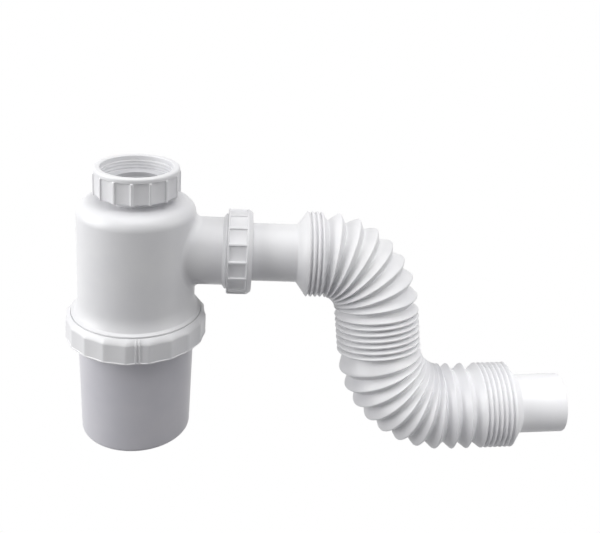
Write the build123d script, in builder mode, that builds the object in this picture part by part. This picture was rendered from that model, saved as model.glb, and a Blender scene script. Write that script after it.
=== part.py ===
from build123d import *
import os
from math import cos, radians, sin, sqrt

# Bottle trap for a sink: a body with a dip tube, a screw-on cup, union nuts and a pleated hose.
# Millimetres. Z is the trap's axis, z = 0 is the surface it stands on, and the branch points to +X.

# Clearances shared by the pieces
face_gap = 0.2
thread_gap = 0.5
pipe_fit = 0.1

# Cup
cup_top_radius = 40.3
cup_draft = 1.9
cup_wall = 2.2
cup_floor = 2.5
cup_foot_rounding = 3.0
cup_inner_chamfer = 1.2
cup_flange_width = 3.4
cup_flange_thickness = 2.0

# Nut that holds the cup
cup_nut_bottom = 74.9
cup_nut_height = 17.7
cup_nut_wall = 3.8
cup_nut_facets = 20
cup_nut_turn = 16.8
cup_nut_facet_dip = 0.25
cup_nut_lip = 2.0
cup_nut_bevel_height = 2.2
cup_nut_bevel_land = 0.6
cup_nut_foot_chamfer = 1.0
lip_clearance = 0.45
pointer_width = 3.0
pointer_height = 0.6
pointer_groove = 1.0
pointer_margin = 2.0
pointer_root = 1.2
pointer_facet = 14

# Cup seal
cup_seal_thickness = 2.0
cup_seal_inset = 0.4
cup_seal_overlap = 1.7

# Body
body_wall = 2.4
skirt_step = 3.4
skirt_wall = 2.6
skirt_bead_width = 0.8
skirt_bead_height = 2.4
skirt_bead_rise = 1.0
skirt_ledge_width = 1.9
skirt_ledge_rise = 0.9
skirt_flare_height = 8.0
skirt_flare_break = 4.0
skirt_flare_width = 0.55
wall_above_branch = 12.9
wall_below_branch = 12.0
dome_rise = 1.0
dome_rounding = 9.0
sleeve_wall = 2.2
sleeve_depth = 12.0

# Dip tube, pressed into the body's top: its upper end is the neck
neck_wall = 2.8
dip_wall = 1.8
dip_end = 34.0

# Inlet union
inlet_nut_rise = 4.8
inlet_nut_height = 18.4
inlet_nut_rim_radius = 28.7
inlet_nut_rim_height = 3.3
inlet_nut_rim_rounding = 1.4
inlet_nut_turn = 6.6
inlet_thread_radius = 23.9
inlet_mouth_relief = 0.4
inlet_mouth_depth = 3.6
inlet_mouth_chamfer = 0.4
inlet_nut_lip = 2.4
neck_collar_width = 3.3
neck_collar_height = 3.0
neck_collar_inset = 0.6
gasket_thickness = 3.0
gasket_inset = 0.7
gasket_clearance = 0.3

# Grip of the two small nuts: hollow panels between ribs
nut_rib_radius = 29.4
nut_panel_radius = 28.5
nut_panel_dip = 0.5
nut_rib_width = 1.6
nut_ribs = 15

# Branch
branch_wall = 2.7
branch_blend = 5.0
branch_pipe_gap = 0.7
branch_mouth_flare = 2.2
branch_thread_height = 1.0
branch_thread_length = 11.2
branch_collar_width = 2.6
branch_collar_length = 3.0
branch_collar_land = 1.0

# Outlet nut
outlet_nut_start = 62.4
outlet_nut_length = 16.9
outlet_nut_turn = 4.6
outlet_nut_inner_rim = 1.1
outlet_nut_outer_rim = 3.8
outlet_nut_rim_land = 1.0
outlet_nut_rim_drop = 2.0
outlet_nut_lip = 2.2
outlet_nut_edge = 0.5

# Hose, blown in one piece with its two spigots
hose_pipe_radius = 20.0
hose_pipe_wall = 1.8
hose_insertion = 21.6
hose_pipe_length = 58.5
hose_shoulder_length = 7.0
hose_tip_radius = 29.8
hose_wall = 1.5
hose_first_run = 18.5
first_bend_radius = 40.0
first_bend_angle = 83.0
second_bend_radius = 46.5
end_rise = 3.0
hose_tilt = 10.0
spigot_radius = 20.5
spigot_length = 32.3

# Runs of pleats: how many, their pitch on the centreline, how deep the valley lies below the tip,
# how far it moves towards the inside of the bend, and where it lies within the pitch.
# Pleats with a pitch under closed_pitch are pushed together and touch inside.
closed_pitch = 5.0
pleat_runs = [
    (3, 3.3, 1.3, 0.0, 0.4),
    (8, 8.05, 3.3, -1.8, 0.33),
    (8, 4.3, 1.3, 0.0, 0.4),
    (7, 8.4, 3.3, 1.8, 0.33),
    (3, 10.5, 4.8, 0.0, 0.33),
    (6, 3.55, 1.3, 0.0, 0.4),
]

# Cup, its seal and its nut, which follow from the cup's top
cup_foot_radius = cup_top_radius - cup_draft
cup_flange_radius = cup_top_radius + cup_flange_width
cup_flange_bottom = cup_nut_bottom + cup_nut_lip + face_gap
cup_height = cup_flange_bottom + cup_flange_thickness
cup_seal_outer_radius = cup_flange_radius - cup_seal_inset
cup_seal_inner_radius = cup_top_radius - cup_seal_overlap
skirt_radius = cup_flange_radius
skirt_bead_radius = skirt_radius + skirt_bead_width
cup_nut_bore = skirt_bead_radius + thread_gap
cup_nut_radius = cup_nut_bore + cup_nut_wall
cup_nut_top = cup_nut_bottom + cup_nut_height
skirt_bead_top = cup_nut_top + skirt_bead_rise
flare_foot = skirt_bead_top + skirt_ledge_rise

# Inlet union and dip tube, which follow from the thread of the sink waste
gasket_outer_radius = inlet_thread_radius - gasket_inset
neck_collar_radius = gasket_outer_radius - neck_collar_inset
neck_radius = neck_collar_radius - neck_collar_width
throat_radius = neck_radius - neck_wall
dip_radius = throat_radius + dip_wall
inlet_mouth_radius = inlet_thread_radius + inlet_mouth_relief

# Branch and outlet nut, which follow from the hose's pipe
branch_bore = hose_pipe_radius + branch_pipe_gap
branch_radius = branch_bore + branch_wall
branch_height = flare_foot + skirt_flare_height + wall_below_branch + branch_radius
branch_collar_radius = branch_radius + branch_collar_width
branch_collar_start = outlet_nut_start - face_gap - branch_collar_length
branch_end = outlet_nut_start + branch_thread_length
branch_axis = Axis((0, 0, branch_height), (1, 0, 0))
branch_section = Plane(origin=(0, 0, branch_height), x_dir=(1, 0, 0), z_dir=(0, -1, 0))
outlet_nut_end = outlet_nut_start + outlet_nut_length
outlet_nut_bore = branch_radius + branch_thread_height + thread_gap
hose_start = branch_end - hose_insertion
hose_shoulder_start = hose_start + hose_pipe_length
hose_bend_start = hose_shoulder_start + hose_first_run

# Body between them
body_radius = skirt_radius - skirt_step
body_inner_radius = body_radius - body_wall
body_top = branch_height + branch_radius + wall_above_branch
skirt_bottom = cup_height + cup_seal_thickness + pipe_fit
skirt_inner_radius = skirt_radius - skirt_wall
skirt_shelf = skirt_bead_top - skirt_wall / 2
ceiling_height = body_top - dome_rise - body_wall
ceiling_chamfer = (2 - sqrt(2)) * (dome_rounding - body_wall)
sleeve_radius = dip_radius + pipe_fit + sleeve_wall
sleeve_bottom = ceiling_height - sleeve_depth
branch_root = sqrt(body_inner_radius**2 - branch_radius**2) - branch_wall
inlet_nut_bottom = body_top + inlet_nut_rise
inlet_nut_top = inlet_nut_bottom + inlet_nut_height
collar_bottom = inlet_nut_bottom + inlet_nut_lip + face_gap
collar_top = collar_bottom + neck_collar_height
gasket_top = collar_top + gasket_thickness

os.makedirs("parts", exist_ok=True)

# Outline of the grip that the two small nuts share, with a rib on its x axis
half_panel = nut_panel_radius * sin(radians(180 / nut_ribs))
panel_distance = nut_panel_radius * cos(radians(180 / nut_ribs))
panel_curve = (half_panel**2 + nut_panel_dip**2) / (2 * nut_panel_dip)
with BuildSketch() as nut_grip:
    Circle(nut_panel_radius)
    with PolarLocations(panel_distance - nut_panel_dip + panel_curve, nut_ribs, start_angle=180 / nut_ribs):
        Circle(panel_curve, mode=Mode.SUBTRACT)
    with PolarLocations(nut_rib_radius / 2, nut_ribs):
        Rectangle(nut_rib_radius, nut_rib_width)

# Cup: a drafted pot whose flange is clamped by the nut
with BuildPart() as cup:
    with BuildSketch(Plane.XZ) as cup_section:
        with BuildLine():
            Polyline(
                (0, 0),
                (cup_foot_radius, 0),
                (cup_top_radius, cup_flange_bottom),
                (cup_flange_radius, cup_flange_bottom),
                (cup_flange_radius, cup_height),
                (cup_top_radius - cup_wall, cup_height),
                (cup_foot_radius - cup_wall, cup_floor),
                (0, cup_floor),
                close=True,
            )
        make_face()
        foot_corner = cup_section.vertices().group_by(Axis.Y)[0].sort_by(Axis.X)[-1]
        fillet(foot_corner, cup_foot_rounding)
        floor_corner = cup_section.vertices().sort_by_distance((cup_foot_radius - cup_wall, cup_floor))[0]
        chamfer(floor_corner, cup_inner_chamfer)
    revolve(axis=Axis.Z)
cup.part.label = "cup"
export_step(cup.part, "parts/cup.step")

# Flat seal between the cup's flange and the skirt of the body
with BuildPart() as cup_seal:
    with BuildSketch(Plane.XY.offset(cup_height)):
        Circle(cup_seal_outer_radius)
        Circle(cup_seal_inner_radius, mode=Mode.SUBTRACT)
    extrude(amount=cup_seal_thickness)
cup_seal.part.label = "cup_seal"
export_step(cup_seal.part, "parts/cup_seal.step")

# Nut of the cup: hollow-ground facets that meet in ridges, and a lip under the cup's flange
half_facet = cup_nut_radius * sin(radians(180 / cup_nut_facets))
facet_distance = cup_nut_radius * cos(radians(180 / cup_nut_facets))
facet_curve = (half_facet**2 + cup_nut_facet_dip**2) / (2 * cup_nut_facet_dip)
with BuildPart() as coupling_nut:
    with BuildSketch(Plane.XY.offset(cup_nut_bottom).rotated((0, 0, cup_nut_turn))):
        Circle(cup_nut_radius)
        with PolarLocations(
            facet_distance - cup_nut_facet_dip + facet_curve,
            cup_nut_facets,
            start_angle=180 / cup_nut_facets,
        ):
            Circle(facet_curve, mode=Mode.SUBTRACT)
    extrude(amount=cup_nut_height)
    with BuildSketch(Plane.XZ):
        with BuildLine():
            Polyline(
                (cup_top_radius + lip_clearance, cup_nut_bottom),
                (facet_distance - cup_nut_foot_chamfer, cup_nut_bottom),
                (cup_nut_radius, cup_nut_bottom + 2 * cup_nut_foot_chamfer),
                (cup_nut_radius, cup_nut_top - cup_nut_bevel_height),
                (cup_nut_bore + cup_nut_bevel_land, cup_nut_top),
                (cup_nut_bore, cup_nut_top),
                (cup_nut_bore, cup_nut_bottom + cup_nut_lip),
                (cup_top_radius + lip_clearance, cup_nut_bottom + cup_nut_lip),
                close=True,
            )
        make_face()
    revolve(axis=Axis.Z, mode=Mode.INTERSECT)
    # The raised pointer on one facet, with a groove down its middle
    pointer_angle = radians(cup_nut_turn + (pointer_facet + 0.5) * 360 / cup_nut_facets)
    pointer_outward = Vector(cos(pointer_angle), sin(pointer_angle), 0)
    pointer_foot = pointer_outward * (facet_distance - cup_nut_facet_dip - pointer_root)
    pointer_foot += Vector(0, 0, cup_nut_bottom + cup_nut_height / 2)
    pointer_length = cup_nut_height - 2 * pointer_margin
    with BuildSketch(Plane(pointer_foot, x_dir=pointer_outward.rotate(Axis.Z, 90), z_dir=pointer_outward)):
        Rectangle(pointer_width, pointer_length)
        Rectangle(pointer_groove, pointer_length, mode=Mode.SUBTRACT)
    extrude(amount=pointer_root + pointer_height)
coupling_nut.part.label = "coupling_nut"
export_step(coupling_nut.part, "parts/coupling_nut.step")

# Body: skirt, wall, dome, sleeve for the dip tube and branch in one moulding.
# Its sections stand at the rear, so that the seams of the round faces stay clear of the branch.
with BuildPart() as trap_body:
    with BuildSketch(Plane.YZ) as body_section:
        with BuildLine():
            Polyline(
                (0, skirt_bottom),
                (skirt_radius, skirt_bottom),
                (skirt_radius, skirt_bead_top - skirt_bead_height),
                (skirt_bead_radius, skirt_bead_top - skirt_bead_height),
                (skirt_bead_radius, skirt_bead_top),
                (skirt_bead_radius - skirt_ledge_width, flare_foot),
                (body_radius + skirt_flare_width, flare_foot + skirt_flare_break),
                (body_radius, flare_foot + skirt_flare_height),
                (body_radius, body_top - dome_rise),
                (neck_radius, body_top),
                (0, body_top),
                close=True,
            )
        make_face()
        dome_corner = body_section.vertices().sort_by_distance((body_radius, body_top - dome_rise))[0]
        fillet(dome_corner, dome_rounding)
    revolve(axis=Axis.Z)
    with BuildSketch(branch_section):
        with BuildLine():
            Polyline(
                (branch_root, 0),
                (branch_root, branch_radius),
                (branch_collar_start, branch_radius),
                (outlet_nut_start - face_gap - branch_collar_land, branch_collar_radius),
                (outlet_nut_start - face_gap, branch_collar_radius),
                (outlet_nut_start - face_gap, branch_radius),
                (branch_end, branch_radius),
                (branch_end, 0),
                close=True,
            )
        make_face()
    revolve(axis=branch_axis)
    bent_edges = trap_body.edges().filter_by(GeomType.BSPLINE)
    saddle = bent_edges.filter_by(lambda edge: edge.center().X < branch_collar_start)
    fillet(saddle, branch_blend)
    with BuildSketch(Plane.YZ) as cavity_section:
        with BuildLine():
            Polyline(
                (0, skirt_bottom),
                (skirt_inner_radius, skirt_bottom),
                (skirt_inner_radius, skirt_shelf),
                (body_inner_radius, skirt_shelf + skirt_inner_radius - body_inner_radius),
                (body_inner_radius, ceiling_height),
                (0, ceiling_height),
                close=True,
            )
        make_face()
        ceiling_corner = cavity_section.vertices().group_by(Axis.Y)[-1].sort_by(Axis.X)[-1]
        chamfer(ceiling_corner, ceiling_chamfer)
    revolve(axis=Axis.Z, mode=Mode.SUBTRACT)
    with BuildSketch(Plane.XY.offset(sleeve_bottom)):
        Circle(sleeve_radius)
    extrude(amount=body_top - body_wall / 2 - sleeve_bottom)
    with BuildSketch(Plane.XY.offset(sleeve_bottom)):
        Circle(dip_radius + pipe_fit)
    extrude(amount=body_top - sleeve_bottom, mode=Mode.SUBTRACT)
    with BuildSketch(branch_section):
        with BuildLine():
            Polyline(
                (branch_root, 0),
                (branch_root, branch_bore),
                (branch_end - branch_mouth_flare, branch_bore),
                (branch_end, branch_bore + branch_mouth_flare),
                (branch_end, 0),
                close=True,
            )
        make_face()
    revolve(axis=branch_axis, mode=Mode.SUBTRACT)
trap_body.part.label = "trap_body"
export_step(trap_body.part, "parts/trap_body.step")

# Dip tube: its shoulder stands on the body's top, and its collar keeps the inlet nut on the neck
with BuildPart() as dip_tube:
    with BuildSketch(Plane.XZ):
        with BuildLine():
            Polyline(
                (throat_radius, dip_end),
                (dip_radius, dip_end),
                (dip_radius, body_top),
                (neck_radius, body_top),
                (neck_radius, collar_bottom),
                (neck_collar_radius, collar_bottom),
                (neck_collar_radius, collar_top),
                (throat_radius, collar_top),
                close=True,
            )
        make_face()
    revolve(axis=Axis.Z)
dip_tube.part.label = "dip_tube"
export_step(dip_tube.part, "parts/dip_tube.step")

# Gasket on top of the neck, under the waste that screws in
with BuildPart() as inlet_gasket:
    with BuildSketch(Plane.XY.offset(collar_top)):
        Circle(gasket_outer_radius)
        Circle(throat_radius, mode=Mode.SUBTRACT)
    extrude(amount=gasket_thickness)
inlet_gasket.part.label = "inlet_gasket"
export_step(inlet_gasket.part, "parts/inlet_gasket.step")

# Inlet nut: panelled grip, rounded rim and a lip that catches the neck's collar
with BuildPart() as inlet_nut:
    with BuildSketch(Plane.XY.offset(inlet_nut_bottom)):
        add(nut_grip.sketch, rotation=inlet_nut_turn)
    extrude(amount=inlet_nut_height - inlet_nut_rim_height)
    with BuildSketch(Plane.XZ) as rim_section:
        with BuildLine():
            Polyline(
                (0, inlet_nut_top - inlet_nut_rim_height),
                (inlet_nut_rim_radius, inlet_nut_top - inlet_nut_rim_height),
                (inlet_nut_rim_radius, inlet_nut_top),
                (0, inlet_nut_top),
                close=True,
            )
        make_face()
        rim_corner = rim_section.vertices().group_by(Axis.Y)[-1].sort_by(Axis.X)[-1]
        fillet(rim_corner, inlet_nut_rim_rounding)
    revolve(axis=Axis.Z)
    with BuildSketch(Plane.XZ):
        with BuildLine():
            Polyline(
                (0, inlet_nut_bottom),
                (neck_radius + thread_gap, inlet_nut_bottom),
                (neck_radius + thread_gap, inlet_nut_bottom + inlet_nut_lip),
                (gasket_outer_radius + gasket_clearance, inlet_nut_bottom + inlet_nut_lip),
                (gasket_outer_radius + gasket_clearance, gasket_top),
                (inlet_thread_radius, gasket_top),
                (inlet_thread_radius, inlet_nut_top - inlet_mouth_depth),
                (inlet_mouth_radius, inlet_nut_top - inlet_mouth_depth),
                (inlet_mouth_radius, inlet_nut_top - inlet_mouth_chamfer),
                (inlet_mouth_radius + inlet_mouth_chamfer, inlet_nut_top),
                (0, inlet_nut_top),
                close=True,
            )
        make_face()
    revolve(axis=Axis.Z, mode=Mode.SUBTRACT)
inlet_nut.part.label = "inlet_nut"
export_step(inlet_nut.part, "parts/inlet_nut.step")

# Outlet nut: panels between two rims, and a lip behind the cone seal
with BuildPart() as outlet_nut:
    with BuildSketch(Plane(origin=(outlet_nut_start, 0, branch_height), x_dir=(0, 1, 0), z_dir=(1, 0, 0))):
        add(nut_grip.sketch, rotation=outlet_nut_turn)
    extrude(amount=outlet_nut_length - outlet_nut_outer_rim)
    with BuildSketch(branch_section):
        with BuildLine():
            Polyline(
                (outlet_nut_start, 0),
                (outlet_nut_start, nut_rib_radius - outlet_nut_edge),
                (outlet_nut_start + outlet_nut_edge, nut_rib_radius),
                (outlet_nut_start + outlet_nut_inner_rim, nut_rib_radius),
                (outlet_nut_start + outlet_nut_inner_rim, 0),
                close=True,
            )
        make_face()
        with BuildLine():
            Polyline(
                (outlet_nut_end - outlet_nut_outer_rim, 0),
                (outlet_nut_end - outlet_nut_outer_rim, nut_rib_radius),
                (outlet_nut_end - outlet_nut_outer_rim + outlet_nut_rim_land, nut_rib_radius),
                (outlet_nut_end, nut_rib_radius - outlet_nut_rim_drop),
                (outlet_nut_end, 0),
                close=True,
            )
        make_face()
    revolve(axis=branch_axis)
    with BuildSketch(branch_section):
        with BuildLine():
            Polyline(
                (outlet_nut_start, 0),
                (outlet_nut_start, outlet_nut_bore),
                (outlet_nut_end - outlet_nut_lip, outlet_nut_bore),
                (outlet_nut_end - outlet_nut_lip, hose_pipe_radius + thread_gap),
                (outlet_nut_end, hose_pipe_radius + thread_gap),
                (outlet_nut_end, 0),
                close=True,
            )
        make_face()
    revolve(axis=branch_axis, mode=Mode.SUBTRACT)
outlet_nut.part.label = "outlet_nut"
export_step(outlet_nut.part, "parts/outlet_nut.step")

# Cone seal on the hose's pipe: its nose sits in the flared mouth of the branch
seal_nose = branch_bore - hose_pipe_radius - pipe_fit
with BuildPart() as outlet_seal:
    with BuildSketch(branch_section):
        with BuildLine():
            Polyline(
                (branch_end - branch_mouth_flare, hose_pipe_radius + pipe_fit),
                (branch_end - branch_mouth_flare, hose_pipe_radius + seal_nose - face_gap),
                (branch_end + face_gap, branch_bore + branch_mouth_flare - face_gap),
                (outlet_nut_end - outlet_nut_lip - face_gap, branch_bore + branch_mouth_flare - face_gap),
                (outlet_nut_end - outlet_nut_lip - face_gap, hose_pipe_radius + pipe_fit),
                close=True,
            )
        make_face()
    revolve(axis=branch_axis)
outlet_seal.part.label = "outlet_seal"
export_step(outlet_seal.part, "parts/outlet_seal.step")

# Route of the hose, drawn flat: x runs out from the trap and y runs down
turn = 1 - cos(radians(first_bend_angle))
hose_drop = (branch_height - hose_tip_radius) / cos(radians(hose_tilt))
drop_run = (hose_drop - (first_bend_radius + second_bend_radius) * turn) / sin(radians(first_bend_angle))
pleats_length = sum(count * pitch for count, pitch, depth, shift, valley in pleat_runs)
bends_length = radians(first_bend_angle) * first_bend_radius
bends_length += radians(first_bend_angle + end_rise) * second_bend_radius
pleats_start = hose_shoulder_start + hose_shoulder_length
last_run = pleats_start + pleats_length - hose_bend_start - bends_length - drop_run
with BuildLine() as hose_route:
    near_run = Line((hose_start, 0), (hose_bend_start, 0))
    first_bend = JernArc(near_run @ 1, near_run % 1, first_bend_radius, first_bend_angle)
    drop = Line(first_bend @ 1, first_bend @ 1 + drop_run * (first_bend % 1))
    second_bend = JernArc(drop @ 1, drop % 1, second_bend_radius, -first_bend_angle - end_rise)
    far_run_length = last_run + hose_shoulder_length + spigot_length
    far_run = Line(second_bend @ 1, second_bend @ 1 + far_run_length * (second_bend % 1))
route = hose_route.wire()
tilt = radians(hose_tilt)
swing_plane = Plane(origin=(0, 0, branch_height), x_dir=(1, 0, 0), z_dir=(0, cos(tilt), -sin(tilt)))


def hose_section(distance):
    """Return the plane across the hose at a distance along its route from the trap's axis."""
    along = distance - hose_start
    spot = route.position_at(along, position_mode=PositionMode.LENGTH)
    heading = route.tangent_at(along, position_mode=PositionMode.LENGTH)
    origin = swing_plane.from_local_coords(spot)
    direction = swing_plane.from_local_coords(spot + heading) - origin
    return Plane(origin=origin, x_dir=swing_plane.z_dir, z_dir=direction)


# Rings of the hose as distance, radius and shift: the outer skin, and the bore that follows it
hose_end = pleats_start + pleats_length
outer_rings = [(hose_start, hose_pipe_radius, 0), (hose_shoulder_start, hose_pipe_radius, 0)]
bore_rings = [(hose_start, hose_pipe_radius - hose_pipe_wall, 0)]
bore_rings += [(hose_shoulder_start, hose_pipe_radius - hose_pipe_wall, 0)]
tip = pleats_start
for count, pitch, depth, shift, valley in pleat_runs:
    outer_rings += [(tip + (turn_number + part) * pitch, hose_tip_radius - drop_in, lean)
                    for turn_number in range(count)
                    for part, drop_in, lean in ((0, 0, 0), (valley, depth, shift))]
    if pitch < closed_pitch:
        bore_rings += [(tip, hose_tip_radius - depth - hose_wall, 0)]
        bore_rings += [(tip + (count - valley) * pitch, hose_tip_radius - depth - hose_wall, 0)]
    else:
        bore_rings += [(tip + (turn_number + part) * pitch, hose_tip_radius - hose_wall - drop_in, lean)
                       for turn_number in range(count)
                       for part, drop_in, lean in ((0, 0, 0), (valley, depth, shift))]
    tip += count * pitch
outer_rings += [(hose_end, hose_tip_radius, 0), (hose_end + hose_shoulder_length, spigot_radius, 0)]
outer_rings += [(hose_end + hose_shoulder_length + spigot_length, spigot_radius, 0)]
bore_rings += [(hose_end + hose_shoulder_length, spigot_radius - hose_pipe_wall, 0)]
bore_rings += [(hose_end + hose_shoulder_length + spigot_length, spigot_radius - hose_pipe_wall, 0)]

# Hose: straight-sided pleats between rings that stand square to the route, and the bore cut from it.
# Each loft spans only a few rings, so that no loft turns far round a bend.
rings_per_loft = 5


def ringed_solid(rings):
    """Loft straight walls from ring to ring."""
    with BuildPart() as ringed:
        for first in range(0, len(rings) - 1, rings_per_loft):
            for distance, radius, shift in rings[first : first + rings_per_loft + 1]:
                with BuildSketch(hose_section(distance)):
                    with Locations((0, shift)):
                        Circle(radius)
            loft(ruled=True)
    return ringed.part


with BuildPart() as flexible_hose:
    add(ringed_solid(outer_rings))
    add(ringed_solid(bore_rings), mode=Mode.SUBTRACT)
flexible_hose.part.label = "flexible_hose"
export_step(flexible_hose.part, "parts/flexible_hose.step")
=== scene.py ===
import math
import bpy
import numpy as np
from mathutils import Matrix, Vector


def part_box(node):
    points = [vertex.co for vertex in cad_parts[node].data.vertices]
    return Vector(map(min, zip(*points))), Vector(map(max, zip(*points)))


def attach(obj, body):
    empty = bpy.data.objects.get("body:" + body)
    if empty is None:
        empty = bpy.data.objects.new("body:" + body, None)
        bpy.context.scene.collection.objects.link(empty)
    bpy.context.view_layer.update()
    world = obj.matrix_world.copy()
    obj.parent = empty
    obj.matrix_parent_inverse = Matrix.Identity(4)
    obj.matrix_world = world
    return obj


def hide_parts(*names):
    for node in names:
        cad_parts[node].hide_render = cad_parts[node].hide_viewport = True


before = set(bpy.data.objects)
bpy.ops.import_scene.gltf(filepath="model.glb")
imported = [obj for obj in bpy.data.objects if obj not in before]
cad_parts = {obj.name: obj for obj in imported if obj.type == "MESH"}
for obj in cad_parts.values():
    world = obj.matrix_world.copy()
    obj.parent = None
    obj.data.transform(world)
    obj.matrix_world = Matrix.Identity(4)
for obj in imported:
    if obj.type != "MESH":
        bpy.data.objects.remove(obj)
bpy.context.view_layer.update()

# The frame's own places, in metres
inletLow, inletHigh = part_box("inlet_nut")
outletLow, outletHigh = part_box("outlet_nut")
clampLow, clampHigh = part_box("coupling_nut")
branchHeight = (outletLow.z + outletHigh.z) / 2


# Closed skin over a grid of points, rows by columns, wound so that its volume is positive
def sweepMesh(name, points):
    rows, columns = points.shape[:2]
    index = np.arange(rows * columns).reshape(rows, columns)
    ahead = np.roll(index, -1, axis=0)
    corners = (index, np.roll(index, -1, axis=1), np.roll(ahead, -1, axis=1), ahead)
    faces = np.stack(corners, axis=-1).reshape(-1, 4)
    flat = points.reshape(-1, 3)
    a, b, c, d = (flat[faces[:, k]] for k in range(4))
    volume = (a * (np.cross(b, c) + np.cross(c, d))).sum()
    if volume < 0:
        faces = faces[:, ::-1]
    mesh = bpy.data.meshes.new(name)
    mesh.from_pydata(flat.tolist(), [], faces.tolist())
    mesh.polygons.foreach_set("use_smooth", np.ones(len(faces), bool))
    mesh.update()
    piece = bpy.data.objects.new(name, mesh)
    bpy.context.scene.collection.objects.link(piece)
    return piece


# Outline after its first corner, through corners given as (radius, height, rounding): a corner is cut back
# by its rounding along both sides and bridged in so many steps by a quadratic curve that leaves and meets the
# sides straight on, and the last corner's second side runs back to the first corner
def roundedOutline(corners, steps):
    spots = np.array([corner[:2] for corner in corners], float)
    rounding = np.array([corner[2] for corner in corners], float)[:, None]
    before, after = np.roll(spots, 1, axis=0), np.roll(spots, -1, axis=0)
    start = spots + (before - spots) / np.linalg.norm(before - spots, axis=1, keepdims=True) * rounding
    end = spots + (after - spots) / np.linalg.norm(after - spots, axis=1, keepdims=True) * rounding
    t = np.linspace(0, 1, steps)[None, :, None]
    curve = (1 - t) ** 2 * start[:, None] + 2 * t * (1 - t) * spots[:, None] + t**2 * end[:, None]
    return curve[1:].reshape(-1, 2)


# 0 below low, 1 above high, and between them three squares less two cubes of the share of the way
def smoothStep(value, low, high):
    t = np.clip((value - low) / (high - low), 0, 1)
    return t * t * (3 - 2 * t)


# Camera: place in metres, turns in radians, lens in millimetres and shift as a share of the picture's width
camera = {
    "place": (0.0669, -0.5406, 0.3719),
    "yaw": -0.078,
    "pitch": 0.3047,
    "roll": 0.0628,
    "lens": 50.44,
    "shiftY": -1 / 6,
}


# Turned about Z by yaw, tipped down by pitch, then rolled about its own axis
def makeCamera():
    data = bpy.data.cameras.new("camera")
    data.sensor_fit = "HORIZONTAL"
    data.lens = camera["lens"]
    data.shift_y = camera["shiftY"]
    eye = bpy.data.objects.new("camera", data)
    turn = Matrix.Rotation(camera["yaw"], 4, "Z") @ Matrix.Rotation(math.pi / 2 - camera["pitch"], 4, "X")
    eye.matrix_world = Matrix.Translation(camera["place"]) @ turn @ Matrix.Rotation(camera["roll"], 4, "Z")
    bpy.context.scene.collection.objects.link(eye)
    bpy.context.scene.camera = eye
    print("camera made")


makeCamera()

# Lamps: place, what they face, size in metres, power in watts and spread in degrees
lamps = {
    "leftSoftbox": {
        "place": (-0.9, -0.18, 0.5),
        "faces": (0.05, 0.0, 0.1),
        "size": 0.9,
        "power": 10.6,
        "spread": 180,
    },
    "topSoftbox": {
        "place": (0.20, -0.14, 1.05),
        "faces": (0.17, 0.0, 0.1),
        "size": 1.0,
        "power": 6.9,
        "spread": 180,
    },
    "rightSoftbox": {
        "place": (1.05, -0.28, 0.70),
        "faces": (0.15, 0.0, 0.05),
        "size": 0.8,
        "power": 3.6,
        "spread": 180,
    },
    "endSoftbox": {
        "place": (0.37, -0.17, 0.30),
        "faces": (0.32, -0.02, 0.03),
        "size": 0.16,
        "power": 0.064,
        "spread": 70,
    },
}


# Square area lamps, each turned so that its face looks at what it lights
def makeLamps():
    for name, lamp in lamps.items():
        data = bpy.data.lights.new(name, "AREA")
        data.shape = "SQUARE"
        data.size = lamp["size"]
        data.energy = lamp["power"]
        data.spread = math.radians(lamp["spread"])
        box = bpy.data.objects.new(name, data)
        aim = Vector(lamp["faces"]) - Vector(lamp["place"])
        turn = aim.to_track_quat("-Z", "Y").to_matrix().to_4x4()
        box.matrix_world = Matrix.Translation(lamp["place"]) @ turn
        bpy.context.scene.collection.objects.link(box)
    print("lamps made")


makeLamps()


# A node's socket, which Python's operators join with Math nodes
class Link:
    def __init__(self, graph, socket):
        self.graph, self.socket = graph, socket

    def combine(self, operation, left, right):
        node = self.graph.node("ShaderNodeMath", {"operation": operation}, {0: left, 1: right})
        return node.out("Value")

    def __add__(self, other):
        return self.combine("ADD", self, other)

    def __radd__(self, other):
        return self.combine("ADD", other, self)

    def __sub__(self, other):
        return self.combine("SUBTRACT", self, other)

    def __rsub__(self, other):
        return self.combine("SUBTRACT", other, self)

    def __mul__(self, other):
        return self.combine("MULTIPLY", self, other)

    def __rmul__(self, other):
        return self.combine("MULTIPLY", other, self)

    def larger(self, other):
        return self.combine("MAXIMUM", self, other)


# One node of a graph, whose outputs are read by name
class Step:
    def __init__(self, graph, made):
        self.graph, self.made = graph, made

    def out(self, name):
        return Link(self.graph, self.made.outputs[name])


# A node tree that is written as expressions
class Graph:
    def __init__(self, tree):
        self.tree = tree
        tree.nodes.clear()

    def node(self, kind, settings, inputs):
        made = self.tree.nodes.new(kind)
        for name, value in settings.items():
            if name == "stops":
                ramp = made.color_ramp
                while len(ramp.elements) < len(value):
                    ramp.elements.new(0.5)
                for element, (place, color) in zip(ramp.elements, value):
                    element.position = place
                    element.color = (*color, 1)
            else:
                setattr(made, name, value)
        for name, value in inputs.items():
            if isinstance(value, Link):
                self.tree.links.new(value.socket, made.inputs[name])
            else:
                made.inputs[name].default_value = value
        return Step(self, made)


# Surroundings: even light on the object as a share of full white, and the floor's colour and side in metres
backdrop = {"white": (1, 1, 1, 1), "ambient": 0.115, "floorColor": (0.28, 0.28, 0.29, 1), "floorSpan": 6.0}


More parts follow.
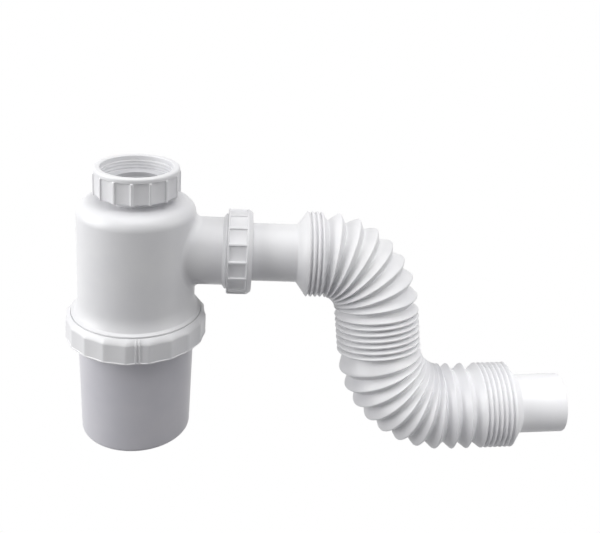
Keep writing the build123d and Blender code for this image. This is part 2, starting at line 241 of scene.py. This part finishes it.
# Dim even light on the object, and full white where the camera, a reflection or clear stuff sees past it
def makeWorld():
    world = bpy.data.worlds.new("world")
    bpy.context.scene.world = world
    world.use_nodes = True
    graph = Graph(world.node_tree)
    path = graph.node("ShaderNodeLightPath", {}, {})
    seen = path.out("Is Camera Ray").larger(path.out("Is Glossy Ray")).larger(path.out("Is Transmission Ray"))
    strength = backdrop["ambient"] + seen * (1 - backdrop["ambient"])
    sky = graph.node("ShaderNodeBackground", {}, {"Color": backdrop["white"], "Strength": strength})
    graph.node("ShaderNodeOutputWorld", {}, {"Surface": sky.out("Background")})


# Grey floor that throws back little light, and that the camera and reflections see as white
def makeFloor():
    half = backdrop["floorSpan"] / 2
    corners = [(-half, -half, 0), (half, -half, 0), (half, half, 0), (-half, half, 0)]
    mesh = bpy.data.meshes.new("floor")
    mesh.from_pydata(corners, [], [(0, 1, 2, 3)])
    floor = bpy.data.objects.new("floor", mesh)
    bpy.context.scene.collection.objects.link(floor)
    finish = bpy.data.materials.new("floorFinish")
    finish.use_nodes = True
    graph = Graph(finish.node_tree)
    path = graph.node("ShaderNodeLightPath", {}, {})
    seen = path.out("Is Camera Ray").larger(path.out("Is Glossy Ray"))
    matte = graph.node("ShaderNodeBsdfDiffuse", {}, {"Color": backdrop["floorColor"]})
    glow = graph.node("ShaderNodeEmission", {}, {"Color": backdrop["white"], "Strength": 1.0})
    blend = graph.node("ShaderNodeMixShader", {}, {0: seen, 1: matte.out("BSDF"), 2: glow.out("Emission")})
    graph.node("ShaderNodeOutputMaterial", {}, {"Surface": blend.out("Shader")})
    mesh.materials.append(finish)
    print("world and floor made")


makeWorld()
makeFloor()

# Finishes of the moulded pieces: the ramp's two colours, gloss, grains to the metre and strength of the bump
plastics = {
    "bodyPlastic": {
        "color": (0.80, 0.80, 0.81),
        "shade": (0.75, 0.75, 0.77),
        "roughness": 0.34,
        "grain": 900.0,
        "bump": 0.04,
    },
    "nutPlastic": {
        "color": (0.80, 0.80, 0.81),
        "shade": (0.76, 0.76, 0.78),
        "roughness": 0.32,
        "grain": 900.0,
        "bump": 0.04,
    },
    # The cup is the same white plastic as the body, with painted shade: its colours are made darker and
    # grey-blue to stand in for the lesser light that reaches it below the coupling nut
    "cupPlasticPaintedShade": {
        "color": (0.63, 0.62, 0.66),
        "shade": (0.59, 0.585, 0.63),
        "roughness": 0.30,
        "grain": 700.0,
        "bump": 0.03,
    },
    "hosePlastic": {
        "color": (0.85, 0.85, 0.86),
        "shade": (0.80, 0.80, 0.82),
        "roughness": 0.38,
        "grain": 600.0,
        "bump": 0.05,
    },
    "gasketRubber": {
        "color": (0.62, 0.62, 0.64),
        "shade": (0.56, 0.56, 0.58),
        "roughness": 0.6,
        "grain": 1200.0,
        "bump": 0.1,
    },
    "sealRubber": {
        "color": (0.06, 0.06, 0.065),
        "shade": (0.035, 0.035, 0.038),
        "roughness": 0.62,
        "grain": 1200.0,
        "bump": 0.12,
    },
}
# What all finishes share: the clouds, where the ramp reaches its two colours, how far clouds and grain sway
# the gloss, how high the clouds stand beside the grain, and the bump's depth in metres
moulding = {
    "clouds": {"Scale": 24.0, "Detail": 3.0, "Roughness": 0.55},
    "grainDetail": 2.0,
    "shadeStop": 0.35,
    "colorStop": 0.65,
    "cloudGloss": 0.10,
    "grainGloss": 0.05,
    "cloudHeight": 2.0,
    "bumpDistance": 0.0004,
    "shine": {"IOR": 1.49, "Specular IOR Level": 0.5},
}


# Moulded surface: slow cloudy colour and gloss, with a very fine orange-peel bump
def makePlastic(name):
    look = plastics[name]
    material = bpy.data.materials.new(name)
    material.use_nodes = True
    graph = Graph(material.node_tree)
    place = graph.node("ShaderNodeTexCoord", {}, {}).out("Object")
    clouds = graph.node("ShaderNodeTexNoise", {}, {"Vector": place, **moulding["clouds"]}).out("Fac")
    grainInputs = {"Vector": place, "Scale": look["grain"], "Detail": moulding["grainDetail"]}
    grain = graph.node("ShaderNodeTexNoise", {}, grainInputs).out("Fac")
    stops = [(moulding["shadeStop"], look["shade"]), (moulding["colorStop"], look["color"])]
    tone = graph.node("ShaderNodeValToRGB", {"stops": stops}, {"Fac": clouds}).out("Color")
    gloss = look["roughness"] + moulding["cloudGloss"] * (clouds - 0.5)
    gloss = gloss + moulding["grainGloss"] * (grain - 0.5)
    height = grain + moulding["cloudHeight"] * clouds
    bumpInputs = {"Strength": look["bump"], "Distance": moulding["bumpDistance"], "Height": height}
    peel = graph.node("ShaderNodeBump", {}, bumpInputs).out("Normal")
    skinInputs = {"Base Color": tone, "Roughness": gloss, "Normal": peel, **moulding["shine"]}
    skin = graph.node("ShaderNodeBsdfPrincipled", {}, skinInputs)
    graph.node("ShaderNodeOutputMaterial", {}, {"Surface": skin.out("BSDF")})
    return material


finishes = {name: makePlastic(name) for name in plastics}
# Which finish each solid of the frame has
nodeFinishes = {
    "trap_body": "bodyPlastic",
    "dip_tube": "bodyPlastic",
    # the cup's finish carries painted shade
    "cup": "cupPlasticPaintedShade",
    "coupling_nut": "nutPlastic",
    "inlet_nut": "nutPlastic",
    "outlet_nut": "nutPlastic",
    "flexible_hose": "hosePlastic",
    "cup_seal": "sealRubber",
    "inlet_gasket": "gasketRubber",
    "outlet_seal": "sealRubber",
}
for nodeName, finishName in nodeFinishes.items():
    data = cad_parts[nodeName].data
    data.materials.clear()
    data.materials.append(finishes[finishName])
print("finishes made")


# Give a new piece its finish and its body
def dress(piece, finishName, body):
    piece.data.materials.append(finishes[finishName])
    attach(piece, body)


# Points of a surface round the trap's axis, or round the branch's where the axis is "outlet"
def turnedPoints(radii, heights, angles, axis):
    across, rise = radii * np.cos(angles), radii * np.sin(angles)
    along = np.broadcast_to(heights[:, None], radii.shape)
    if axis == "outlet":
        return np.stack([along, across, branchHeight + rise], axis=-1)
    return np.stack([across, rise, along], axis=-1)


# Skin of a nut through its parts in turn, each given as heights and radii, where one radius does for a row
def nutSkin(name, parts, angles, axis):
    heights = np.concatenate([rows for rows, radii in parts])
    radii = np.concatenate([np.broadcast_to(radii, (len(rows), len(angles))) for rows, radii in parts])
    return sweepMesh(name, turnedPoints(radii, heights, angles, axis))


# Evenly spaced rows about a place
def rowsAbout(place, low, high, count):
    return np.linspace(place + low, place + high, count)


# Threads: how steeply the flanks climb, how much of the climb is under the root, and rows to a pitch
threadShape = {"steepness": 2.7, "sunk": 0.85, "rows": 8}


# Height of a thread's flank at heights along its axis: a sawtooth that climbs and falls once a pitch, cut off
# to 0 at its root and 1 on its flat crest, and faded out over half a pitch at both ends
def threadRise(heights, angles, pitch, low, high):
    turnPhase = (heights[:, None] / pitch - angles / (2 * np.pi)) % 1
    climb = threadShape["steepness"] * (1 - np.abs(2 * turnPhase - 1)) - threadShape["sunk"]
    runOut = smoothStep(heights, low, low + pitch / 2) * (1 - smoothStep(heights, high - pitch / 2, high))
    return np.clip(climb, 0, 1) * runOut[:, None]


# Evenly spaced rows for a thread
def threadRows(low, high, pitch):
    return np.linspace(low, high, int((high - low) / pitch * threadShape["rows"]) + 1)


# Rows of a nut's inner thread from its high end to its low one, and the radii of its crests and roots
def innerThread(nut, low, high, rootRadius, angles):
    rows = threadRows(low, high, nut["pitch"])[::-1]
    return rows, rootRadius - nut["threadDepth"] * threadRise(rows, angles, nut["pitch"], rows[-1], rows[0])


# Grip of the two small nuts: hollow panels between ribs, with angles in degrees from a rib's middle. The
# rib's shape is angle and radius, and the stops are the columns as far as the next panel's middle
grip = {
    "ribs": 15,
    "ribRadius": 0.0294,
    "panelRadius": 0.0285,
    "hollow": 0.00085,
    "panelStart": 2.2,
    "ribShape": [
        (0, 0.02940),
        (1.0, 0.02939),
        (1.35, 0.02930),
        (1.6, 0.02908),
        (1.85, 0.02875),
        (2.2, 0.02850),
    ],
    "stops": [0, 0.8, 1.15, 1.35, 1.6, 1.85, 2.2, 2.9, 4.0, 5.6, 7.6, 9.8, 12],
}


# Angles of all columns of a grip, and its radius at each: the rib's shape, or a panel hollowed by a parabola
def gripColumns(turn):
    pitch = 360 / grip["ribs"]
    stops = np.array(grip["stops"])
    stops = np.concatenate([stops, pitch - stops[-2:0:-1]])
    angles = np.concatenate([stops + pitch * k for k in range(grip["ribs"])])
    away = np.abs((angles + pitch / 2) % pitch - pitch / 2)
    depth = 1 - ((pitch / 2 - away) / (pitch / 2 - grip["panelStart"])) ** 2
    panel = grip["panelRadius"] - grip["hollow"] * np.clip(depth, 0, 1)
    rib = np.interp(away, *zip(*grip["ribShape"]))
    return np.radians(angles + turn), np.where(away < grip["panelStart"], rib, panel)


# Inlet nut: ribs under a rounded rim, a threaded mouth and a lip below the neck's collar. Its turn is in
# degrees, its foot's edge is heights above the foot with how far the wall is drawn in there, and its rim's
# step and rows are heights about the rim's foot
inletNut = {
    "turn": 6.6,
    "bottom": inletLow.z,
    "top": inletHigh.z,
    "footEdge": [(0, 0.0005), (0.0002, 0.00015), (0.0006, 0)],
    "rimRadius": 0.0288,
    "rimHeight": 0.0033,
    "rimStep": (-0.0005, 0.0003),
    "rimRows": (-0.0006, 0.0006, 9),
    "panelRows": 8,
    "rimMargin": 0.0010,
    "rimLand": 0.0014,
    "rimRound": 0.0017,
    "rimCurve": 7,
    "bore": 0.0235,
    "threadRadius": 0.0239,
    "mouthRadius": 0.0243,
    "mouthRound": 0.0009,
    "threadTop": 0.1938,
    "threadFoot": 0.1877,
    "threadDepth": 0.0002,
    "pitch": 0.002309,
    "lipRadius": 0.0198,
    "lipTop": 0.1814,
    "lipRound": 0.0003,
    "edge": 0.0002,
    "edgeCurve": 3,
}


# Ribbed radii that turn into the rim's radius over a smooth step, then the rim, mouth, thread, bore and lip
def makeInletNut():
    nut = inletNut
    angles, panels = gripColumns(nut["turn"])
    low, top, edge = nut["bottom"], nut["top"], nut["edge"]
    rimFoot = top - nut["rimHeight"]
    footEdge = np.array(nut["footEdge"])
    heights = np.concatenate(
        [
            low + footEdge[:, 0],
            np.linspace(low + nut["rimLand"], rimFoot - nut["rimMargin"], nut["panelRows"]),
            rowsAbout(rimFoot, *nut["rimRows"]),
            [rimFoot + nut["rimMargin"], rimFoot + nut["rimLand"]],
        ]
    )
    filled = smoothStep(heights - rimFoot, *nut["rimStep"])[:, None]
    outer = panels * (1 - filled) + nut["rimRadius"] * filled
    outer[: len(footEdge)] -= footEdge[:, 1:]
    rim = roundedOutline(
        [
            (nut["rimRadius"], rimFoot + nut["rimLand"], 0),
            (nut["rimRadius"], top, nut["rimRound"]),
            (nut["mouthRadius"], top, nut["mouthRound"]),
            (nut["mouthRadius"], nut["threadTop"], edge),
            (nut["threadRadius"], nut["threadTop"], edge / 2),
        ],
        nut["rimCurve"],
    )
    thread, groove = innerThread(nut, nut["threadFoot"], nut["threadTop"], nut["threadRadius"], angles)
    inside = roundedOutline(
        [
            (nut["threadRadius"], nut["threadFoot"], 0),
            (nut["bore"], nut["threadFoot"] - edge / 2, edge / 4),
            (nut["bore"], nut["lipTop"], edge),
            (nut["lipRadius"], nut["lipTop"], edge),
            (nut["lipRadius"], low, nut["lipRound"]),
        ],
        nut["edgeCurve"],
    )
    parts = [(heights, outer), (rim[:, 1], rim[:, :1]), (thread, groove), (inside[:, 1], inside[:, :1])]
    piece = nutSkin("inlet_nut_skin", parts, angles, "inlet")
    dress(piece, "nutPlastic", "inlet_nut")
    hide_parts("inlet_nut")
    print("inlet nut made:", len(piece.data.polygons), "faces")


makeInletNut()

# Outlet nut: panels between a thin inner rim and a broad outer one, a thread and a lip behind the seal. Its
# steps and rows are places about the panels' two ends
outletNut = {
    "turn": 4.6,
    "start": outletLow.x,
    "end": outletHigh.x,
    "startEdge": [(0, 0.0004), (0.00012, 0.0002), (0.0003, 0.00006), (0.0005, 0)],
    "innerRim": 0.0011,
    "innerStep": (-0.0002, 0.0003),
    "innerRows": (-0.0003, 0.0005, 7),
    "panelMargin": 0.0012,
    "panelRows": 7,
    "outerRim": 0.0038,
    "outerStep": (-0.0004, 0.0002),
    "outerRows": (-0.0006, 0.0004, 8),
    "rimLand": 0.0010,
    "rimDrop": 0.0020,
    "rimRound": 0.0006,
    "rimCurve": 5,
    "landRound": 0.0004,
    "bore": 0.0249,
    "boreFlare": 0.0003,
    "threadDepth": 0.00042,
    "threadStart": 0.0004,
    "threadEnd": 0.0105,
    "pitch": 0.003,
    "lip": 0.0022,
    "lipRadius": 0.0205,
    "edge": 0.0002,
}


# The two rims' radius beyond the smooth steps, the panels between them, then the drop, the lip and the thread
def makeOutletNut():
    nut = outletNut
    angles, panels = gripColumns(nut["turn"])
    start, end, edge = nut["start"], nut["end"], nut["edge"]
    panelStart, panelEnd = start + nut["innerRim"], end - nut["outerRim"]
    startEdge = np.array(nut["startEdge"])
    heights = np.concatenate(
        [
            start + startEdge[:, 0],
            rowsAbout(panelStart, *nut["innerRows"]),
            np.linspace(panelStart + nut["panelMargin"], panelEnd - nut["panelMargin"], nut["panelRows"]),
            rowsAbout(panelEnd, *nut["outerRows"]),
        ]
    )
    filled = 1 - smoothStep(heights - panelStart, *nut["innerStep"])
    filled = (filled + smoothStep(heights - panelEnd, *nut["outerStep"]))[:, None]
    outer = panels * (1 - filled) + grip["ribRadius"] * filled
    outer[: len(startEdge)] -= startEdge[:, 1:]
    rim = roundedOutline(
        [
            (grip["ribRadius"], panelEnd + nut["rimLand"] / 2, 0),
            (grip["ribRadius"], panelEnd + nut["rimLand"], nut["landRound"]),
            (grip["ribRadius"] - nut["rimDrop"], end, nut["rimRound"]),
            (nut["lipRadius"], end, 2 * edge),
            (nut["lipRadius"], end - nut["lip"], edge),
            (nut["bore"], end - nut["lip"], edge),
        ],
        nut["rimCurve"],
    )
    threadStart, threadEnd = start + nut["threadStart"], start + nut["threadEnd"]
    thread, groove = innerThread(nut, threadStart, threadEnd, nut["bore"], angles)
    mouth = (np.array([start]), nut["bore"] + nut["boreFlare"])
    parts = [(heights, outer), (rim[:, 1], rim[:, :1]), (thread, groove), mouth]
    piece = nutSkin("outlet_nut_skin", parts, angles, "outlet")
    dress(piece, "nutPlastic", "outlet_nut")
    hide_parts("outlet_nut")
    print("outlet nut made:", len(piece.data.polygons), "faces")


makeOutletNut()

# Nut of the cup: hollow facets, a rounded shoulder, a thin rim along the foot and a pointer of two ridges.
# Stops are the columns of a facet as shares of its half, and places on the facets run from the nut's foot
couplingNut = {
    "turn": 16.8,
    "facets": 20,
    "stops": [-1, -0.985, -0.95, -0.8, -0.55, -0.3, 0, 0.3, 0.55, 0.8, 0.95, 0.985],
    "bottom": clampLow.z,
    "top": clampHigh.z,
    "ridgeRadius": 0.0488,
    "ridgeRound": 0.00010,
    "ridgeShare": 0.95,
    "dip": 0.00038,
    "footEdge": [(0, 0.0005), (0.0002, 0.00015), (0.0004, 0)],
    "footRim": 0.00042,
    "footHeight": 0.0012,
    "footStep": (-0.0003, 0.0001),
    "footRows": (-0.0004, 0.0003, 7),
    "facetStart": 0.0022,
    "facetMargin": 0.0006,
    "facetRows": 9,
    "shoulderHeight": 0.0042,
    "shoulderReach": 0.995,
    "shoulderPower": 1.7,
    "shoulderRows": 30,
    "mouthRadius": 0.0452,
    "mouthDrop": 0.0006,
    "bore": 0.0450,
    "threadFoot": 0.0040,
    "threadMargin": 0.0030,
    "threadDepth": 0.00032,
    "pitch": 0.004,
    "lipRadius": 0.04075,
    "lip": 0.0020,
    "lipRound": 0.0003,
    "edge": 0.0002,
    "edgeCurve": 3,
    "pointerFacet": 14,
    "pointerColumns": 61,
    "pointerShare": 0.6,
    "pointerSink": 0.0004,
    "pointerReach": (0.0020, 0.0064),
    "pointerOffset": 0.00115,
    "pointerWidth": 0.0009,
    "pointerHeight": 0.0007,
    "pointerStep": (-0.0002, 0.0001),
}


# Angles of all columns of the coupling nut in degrees, closer together in the middle of the pointer's facet
def facetColumns(nut, half):
    stops = half * np.array(nut["stops"])
    pointer = np.linspace(-nut["pointerShare"], nut["pointerShare"], nut["pointerColumns"]) * half
    pointer = np.sort(np.concatenate([pointer, stops[np.abs(stops) > nut["pointerShare"] * half]]))
    return np.concatenate(
        [(2 * k + 1) * half + (pointer if k == nut["pointerFacet"] else stops) for k in range(nut["facets"])]
    )


# Wall of facets and ridges that falls to the mouth over the shoulder as a power of the climb, then the inside
def makeCouplingNut():
    nut = couplingNut
    half = 180 / nut["facets"]
    angles = facetColumns(nut, half)
    offset = (angles % (2 * half)) - half
    share = np.abs(offset) / half
    # A chord of the ridges' circle, hollowed towards its middle, with its ridge rounded off a little
    facet = nut["ridgeRadius"] * math.cos(math.radians(half)) / np.cos(np.radians(offset))
    facet = facet - nut["dip"] * (1 - share**2) - nut["ridgeRound"] * smoothStep(share, nut["ridgeShare"], 1)
    # The pointer's facet sinks beside its two ridges
    middle = (2 * nut["pointerFacet"] + 1) * half
    aside = np.abs(np.radians(angles - middle)) * nut["ridgeRadius"]
    facet = facet - nut["pointerSink"] * (1 - smoothStep(aside, *nut["pointerReach"]))
    beside = np.abs(aside - nut["pointerOffset"]) - nut["pointerWidth"] / 2
    ridges = nut["pointerHeight"] * (1 - smoothStep(beside, *nut["pointerStep"]))
    low, top, edge = nut["bottom"], nut["top"], nut["edge"]
    shoulder = top - nut["shoulderHeight"]
    footTop = low + nut["footHeight"]
    footEdge = np.array(nut["footEdge"])
    heights = np.concatenate(
        [
            low + footEdge[:, 0],
            rowsAbout(footTop, *nut["footRows"]),
            np.linspace(low + nut["facetStart"], shoulder - nut["facetMargin"], nut["facetRows"]),
            shoulder + nut["shoulderHeight"] * np.linspace(0, nut["shoulderReach"], nut["shoulderRows"]),
        ]
    )
    foot = 1 - smoothStep(heights - footTop, *nut["footStep"])[:, None]
    climb = np.clip((heights - shoulder) / nut["shoulderHeight"], 0, 1)[:, None]
    bevel = climb ** nut["shoulderPower"]
    wall = np.minimum(facet + nut["footRim"] * foot + ridges * (1 - foot), nut["ridgeRadius"])
    outer = wall * (1 - bevel) + nut["mouthRadius"] * bevel
    outer[: len(footEdge)] -= footEdge[:, 1:]
    mouth = roundedOutline(
        [
            (nut["mouthRadius"], top - edge / 2, 0),
            (nut["bore"] + edge / 2, top, edge / 4),
            (nut["bore"], top - nut["mouthDrop"], edge),
        ],
        nut["edgeCurve"],
    )
    turned = np.radians(angles + nut["turn"])
    thread, groove = innerThread(nut, low + nut["threadFoot"], top - nut["threadMargin"], nut["bore"], turned)
    inside = roundedOutline(
        [
            (nut["bore"], low + nut["threadFoot"] - edge, 0),
            (nut["bore"], low + nut["lip"], edge),
            (nut["lipRadius"], low + nut["lip"], edge),
            (nut["lipRadius"], low, nut["lipRound"]),
        ],
        nut["edgeCurve"],
    )
    parts = [(heights, outer), (mouth[:, 1], mouth[:, :1]), (thread, groove), (inside[:, 1], inside[:, :1])]
    piece = nutSkin("coupling_nut_skin", parts, turned, "inlet")
    dress(piece, "nutPlastic", "coupling_nut")
    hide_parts("coupling_nut")
    print("coupling nut made:", len(piece.data.polygons), "faces")


makeCouplingNut()

# Flare of the body's wall into the skirt, and the bead below it, as a skin a hair outside the solid body.
# Climbs are shares of the flare's height, of which the skin's upper end is past the whole
flare = {
    "top": 0.1040,
    "foot": 0.0948,
    "wallRadius": 0.0403,
    "footRadius": 0.0427,
    "beadRadius": 0.0448,
    "beadTop": 0.0937,
    "beadFoot": 0.0911,
    "edge": 0.0003,
    "footEdge": 0.0002,
    "edgeCurve": 4,
    "cover": 0.00003,
    "sink": 0.00004,
    "sinkStart": 0.85,
    "upperEnd": 1.35,
    "inset": 0.0006,
    "rows": 32,
    "around": 320,
}


# A parabola from the wall out to the skirt, sunk into the wall at its upper end, the bead, and a way back
# inside the wall
def makeFlare():
    climb = np.linspace(flare["upperEnd"], 0, flare["rows"])
    spread = (flare["footRadius"] - flare["wallRadius"]) * np.clip(1 - climb, 0, 1) ** 2
    sink = (flare["cover"] + flare["sink"]) * smoothStep(climb, flare["sinkStart"], flare["upperEnd"])
    wall = flare["wallRadius"] + flare["cover"] + spread - sink
    curve = np.column_stack([wall, flare["foot"] + (flare["top"] - flare["foot"]) * climb])
    bead = roundedOutline(
        [
            (*curve[-2], 0),
            (*curve[-1], flare["edge"]),
            (flare["beadRadius"], flare["beadTop"], flare["edge"]),
            (flare["beadRadius"], flare["beadFoot"], flare["footEdge"]),
            (flare["footRadius"] - flare["inset"], flare["beadFoot"], 0),
            (flare["wallRadius"] - flare["inset"], flare["top"], 0),
        ],
        flare["edgeCurve"],
    )
    outline = np.concatenate([curve[:-1], bead])
    angles = np.linspace(0, 2 * np.pi, flare["around"], endpoint=False)
    radii = np.repeat(outline[:, :1], len(angles), axis=1)
    piece = sweepMesh("body_flare", turnedPoints(radii, outline[:, 1], angles, "inlet"))
    dress(piece, "bodyPlastic", "trap_body")
    print("flare made:", len(piece.data.polygons), "faces")


makeFlare()

# The body's two threads, as bands a hair outside the solid body, each with its back sunk in the wall
threads = {
    "skirt_thread": {
        "radius": 0.0437,
        "depth": 0.00062,
        "low": 0.0822,
        "high": 0.0908,
        "pitch": 0.004,
        "axis": "inlet",
    },
    "branch_thread": {
        "radius": 0.0234,
        "depth": 0.0009,
        "low": outletLow.x + 0.0012,
        "high": outletLow.x + 0.0108,
        "pitch": 0.003,
        "axis": "outlet",
    },
}
threadBand = {"around": 200, "cover": 0.00002, "inset": 0.0006}


# The wall's radius plus the thread's rise, and two rows behind the wall that close the band
def makeThreads():
    angles = np.linspace(0, 2 * np.pi, threadBand["around"], endpoint=False)
    for name, thread in threads.items():
        rows = threadRows(thread["low"], thread["high"], thread["pitch"])
        rise = thread["depth"] * threadRise(rows, angles, thread["pitch"], rows[0], rows[-1])
        back = np.full((2, len(angles)), thread["radius"] - threadBand["inset"])
        radii = np.concatenate([thread["radius"] + threadBand["cover"] + rise, back])
        points = turnedPoints(radii, np.append(rows, [rows[-1], rows[0]]), angles, thread["axis"])
        dress(sweepMesh(name, points), "bodyPlastic", "trap_body")
    print("threads made")


makeThreads()

# Hose: one blown skin along a route of two bends that lie in one tilted plane. Slope steps are the rings from
# a tip to its valley, on the skin and in the bore
hose = {
    "start": 0.052,
    "pipeRadius": 0.020,
    "shoulderStart": 0.1105,
    "shoulderLength": 0.007,
    "tipRadius": 0.0298,
    "bendStart": 0.129,
    "firstBend": 0.040,
    "secondBend": 0.0465,
    "bendAngle": math.radians(83),
    "endRise": math.radians(3),
    "tilt": math.radians(10),
    "spigotRadius": 0.0205,
    "spigotLength": 0.0323,
    "wall": 0.0015,
    "pipeWall": 0.0018,
    "shoulderRound": 0.0009,
    "rimRound": 0.0006,
    "boreRound": 0.0004,
    "edgeCurve": 4,
    "slopeSteps": np.array([0, 0.04, 0.09, 0.15, 0.3, 0.5, 0.7, 0.88, 0.95]),
    "boreSteps": np.array([0, 0.35, 0.75]),
    "around": 112,
    "routeStep": 0.00005,
}
# Runs of pleats: count, pitch, depth, lean towards the inside of the bend, place of the valley between two
# tips, the shares of a slope that are rounded off at its tip and in its valley, and the share of the depth
# that the bore has too
pleatRuns = [
    (3, 0.0033, 0.0024, 0.0, 0.5, 0.8, 0.08, 0.1),
    (2, 0.00806, 0.0050, -0.0011, 0.38, 0.1, 0.12, 1),
    (6, 0.00806, 0.0042, -0.0008, 0.42, 0.12, 0.12, 1),
    (6, 0.00427, 0.0034, 0.0, 0.5, 0.75, 0.06, 0.1),
    (1, 0.0100, 0.0036, 0.0010, 0.21, 0.12, 0.12, 1),
    (7, 0.0083, 0.0041, 0.0009, 0.44, 0.12, 0.12, 1),
    (1, 0.0098, 0.0046, 0.0004, 0.40, 0.1, 0.1, 1),
    (2, 0.0106, 0.0048, 0.0, 0.40, 0.1, 0.1, 1),
    (6, 0.0035, 0.0026, 0.0, 0.35, 0.6, 0.06, 0.1),
]
pleatsStart = hose["shoulderStart"] + hose["shoulderLength"]
pleatsEnd = pleatsStart + sum(count * pitch for count, pitch, *rest in pleatRuns)
hoseEnd = pleatsEnd + hose["shoulderLength"] + hose["spigotLength"]


# Place, side and up of the route at distances along it: the heading is level, turns down, runs and turns
# back, and its cosine and sine are summed up in small steps
def hoseRoute(distance):
    drop = (branchHeight - hose["tipRadius"]) / math.cos(hose["tilt"])
    dropRun = drop - (hose["firstBend"] + hose["secondBend"]) * (1 - math.cos(hose["bendAngle"]))
    dropRun /= math.sin(hose["bendAngle"])
    lengths = [
        hose["bendStart"],
        hose["firstBend"] * hose["bendAngle"],
        dropRun,
        hose["secondBend"] * (hose["bendAngle"] + hose["endRise"]),
    ]
    marks = np.cumsum(lengths)
    step = hose["routeStep"]
    fine = np.arange(hose["start"], hoseEnd + 10 * step, step)  # to a few steps beyond the end
    heading = np.interp(fine + step / 2, marks, [0, hose["bendAngle"], hose["bendAngle"], -hose["endRise"]])
    along = np.concatenate(([0], np.cumsum(np.cos(heading))))[:-1] * step + hose["start"]
    down = np.concatenate(([0], np.cumsum(np.sin(heading))))[:-1] * step
    x, v, h = (np.interp(distance, fine, values) for values in (along, down, heading))
    sinTilt, cosTilt = math.sin(hose["tilt"]), math.cos(hose["tilt"])
    place = np.stack([x, -v * sinTilt, branchHeight - v * cosTilt], axis=-1)
    side = np.array([0, cosTilt, -sinTilt])
    up = np.stack([np.sin(h), np.cos(h) * sinTilt, np.cos(h) * cosTilt], axis=-1)
    return place, side, up


# Fall along a slope, 0 at its tip and 1 in its valley: a parabola over the tip's share, a straight line,
# and a parabola into the valley
def slopeDrop(u, tipShare, valleyShare):
    steep = 1 / (1 - tipShare / 2 - valleyShare / 2)
    line = steep * (u - tipShare / 2)
    tip = steep * u**2 / (2 * tipShare)
    valley = 1 - steep * (1 - u) ** 2 / (2 * valleyShare)
    return np.where(u < tipShare, tip, np.where(u > 1 - valleyShare, valley, line))


# Rings of all pleats as distance, radius and lean: each pleat falls from its tip to its valley and climbs
# again over the same steps in mirror image
def pleatRings(steps, inset, inBore):
    tip = pleatsStart
    climb = np.append(0, 1 - steps[:0:-1])
    slopes = np.concatenate([steps, 1 - climb])
    rings = []
    for count, pitch, depth, lean, valley, tipShare, valleyShare, boreShare in pleatRuns:
        ripple = depth * boreShare if inBore else depth
        share = slopeDrop(slopes, tipShare, valleyShare)
        phase = np.concatenate([steps * valley, valley + (1 - valley) * climb])
        distance = (tip + (np.arange(count)[:, None] + phase) * pitch).ravel()
        radius = hose["tipRadius"] - inset - depth + ripple * (1 - share)
        rings.append(np.stack([distance, np.tile(radius, count), np.tile(lean * share, count)], axis=1))
        tip += count * pitch
    return np.concatenate(rings + [[[tip, hose["tipRadius"] - inset, 0]]])


# Rings round a plain end, whose corners are (distance, radius, rounding): the outer two only give directions
def endRings(corners):
    flat = roundedOutline(corners, hose["edgeCurve"])[: -hose["edgeCurve"]]
    return np.column_stack([flat, np.zeros(len(flat))])


# Circles on the route's rings, moved by their lean, from the pleats' skin round the spigot's end into the
# bore and round the pipe's end back to the skin
def makeHose():
    skin = pleatRings(hose["slopeSteps"], 0.0, False)
    bore = pleatRings(hose["boreSteps"], hose["wall"], True)[::-1]
    pipe, spigot, wall = hose["pipeRadius"], hose["spigotRadius"], hose["pipeWall"]
    start, near, last = hose["start"], hose["shoulderStart"], pleatsEnd + hose["shoulderLength"]
    tail = endRings(
        [
            (*skin[-1, :2], 0),
            (last, spigot, hose["shoulderRound"]),
            (hoseEnd, spigot, hose["rimRound"]),
            (hoseEnd, spigot - wall, hose["boreRound"]),
            (last, spigot - wall, hose["shoulderRound"]),
            (*bore[0, :2], 0),
        ]
    )
    head = endRings(
        [
            (*bore[-1, :2], 0),
            (near, pipe - wall, hose["shoulderRound"]),
            (start, pipe - wall, hose["boreRound"]),
            (start, pipe, hose["rimRound"]),
            (near, pipe, hose["shoulderRound"]),
            (*skin[0, :2], 0),
        ]
    )
    rings = np.concatenate([skin, tail, bore, head])
    place, side, up = hoseRoute(rings[:, 0])
    angle = np.linspace(0, 2 * np.pi, hose["around"], endpoint=False)
    across = rings[:, 1, None] * np.cos(angle)
    rise = rings[:, 1, None] * np.sin(angle) + rings[:, 2, None]
    points = place[:, None, :] + across[..., None] * side + rise[..., None] * up[:, None, :]
    piece = sweepMesh("hose_skin", points)
    dress(piece, "hosePlastic", "flexible_hose")
    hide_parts("flexible_hose")
    print("hose made:", len(piece.data.polygons), "faces")


makeHose()

scene = bpy.context.scene
scene.view_settings.view_transform = "Standard"
